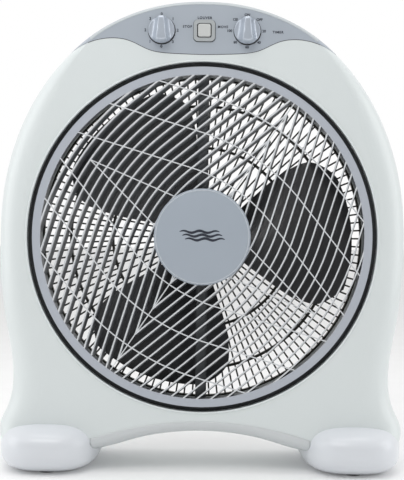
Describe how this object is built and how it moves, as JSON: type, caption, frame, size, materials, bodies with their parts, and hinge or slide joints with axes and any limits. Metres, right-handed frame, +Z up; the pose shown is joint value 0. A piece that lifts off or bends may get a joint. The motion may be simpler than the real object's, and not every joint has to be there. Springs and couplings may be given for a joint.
{
  "type": "box fan",
  "caption": "Free-standing louvred box fan: rounded two-part housing on two feet, turning louver grille, charcoal blades behind it, top panel with two knobs and a rocker.",
  "frame": {"origin": "on the floor, under the middle of the fan between its two feet", "axes": "+Z up, -Y is the side the air leaves from (louver and controls), +X to the right of a person facing the fan"},
  "size_m": [0.4624, 0.1801, 0.5325],
  "materials": {
    "shell_white": "satin gloss moulded ABS",
    "panel_grey": "satin moulded ABS",
    "louver_grey": "satin moulded PP",
    "cap_blue_grey": "satin gloss",
    "grille_dark": "fine moulded texture",
    "blade_charcoal": "smoked satin",
    "bridge_grey": "satin",
    "knob_grey": "satin gloss",
    "button_grey": "satin gloss",
    "bezel_grey": "satin",
    "black_plastic": "moulded",
    "nylon_white": "moulded nylon",
    "steel_bright": "ground",
    "steel_plated": "zinc plated",
    "motor_bell": "stove enamel",
    "laminations": "varnished steel stack",
    "copper": "enamelled copper wire",
    "bronze": "sintered",
    "rubber_foot": "matt"
  },
  "bodies": {
    "housing": {"front_shell": "shell_white", "rear_shell": "shell_white", "control_panel": "panel_grey", "foot_left": "shell_white", "foot_right": "shell_white", "front_bridge": "bridge_grey", "duct_ring": "black_plastic", "louver_motor_body": "steel_plated", "louver_motor_flange": "steel_plated", "motor_front_bell": "motor_bell", "motor_rear_bell": "motor_bell", "motor_stator": "laminations", "motor_coils": "copper", "bearing_front": "bronze", "bearing_rear": "bronze", "rear_grille": "grille_dark", "speed_switch_body": "black_plastic", "timer_body": "nylon_white", "speed_switch_nut": "steel_plated", "switch_bezel": "bezel_grey", "louver_switch_body": "black_plastic", "motor_capacitor": "black_plastic", "capacitor_bracket": "nylon_white", "cord_gland": "black_plastic", "terminal_block": "nylon_white", "foot_pads": "rubber_foot", "shell_screws": "steel_plated", "panel_screws": "steel_plated", "grille_screws": "steel_plated", "motor_screws": "steel_plated", "foot_screws": "steel_plated", "louver_motor_screws": "steel_plated", "timer_screws": "steel_plated", "bridge_screws": "steel_plated"},
    "fan_rotor": {"blade": "blade_charcoal", "blade_nut": "black_plastic", "motor_shaft": "steel_bright", "blade_drive_pin": "steel_bright", "rotor_core": "laminations", "thrust_washers": "nylon_white"},
    "louver": {"louver_grille": "louver_grey", "louver_cap": "cap_blue_grey", "louver_motor_shaft": "steel_bright", "louver_nut": "steel_plated"},
    "speed_control": {"speed_knob": "knob_grey", "speed_switch_shaft": "steel_bright"},
    "timer_control": {"timer_knob": "knob_grey", "timer_shaft": "steel_bright"},
    "louver_switch": {"louver_rocker": "button_grey"}
  },
  "joints": [
    {"name": "blade_spin", "type": "hinge", "parent": "housing", "child": "fan_rotor", "pos_m": [0, 0, 0.265], "axis": [0, 1, 0], "continuous": true},
    {"name": "louver_spin", "type": "hinge", "parent": "housing", "child": "louver", "pos_m": [0, -0.05, 0.265], "axis": [0, 1, 0], "continuous": true},
    {"name": "speed_knob_turn", "type": "hinge", "parent": "housing", "child": "speed_control", "pos_m": [-0.048, -0.066, 0.496], "axis": [0, 1, 0], "continuous": true},
    {"name": "timer_knob_turn", "type": "hinge", "parent": "housing", "child": "timer_control", "pos_m": [0.048, -0.066, 0.496], "axis": [0, 1, 0], "range_deg": [0, 315]},
    {"name": "louver_rocker_tilt", "type": "hinge", "parent": "housing", "child": "louver_switch", "pos_m": [0, -0.06, 0.496], "axis": [0, 0, 1], "range_deg": [0, 12]}
  ]
}
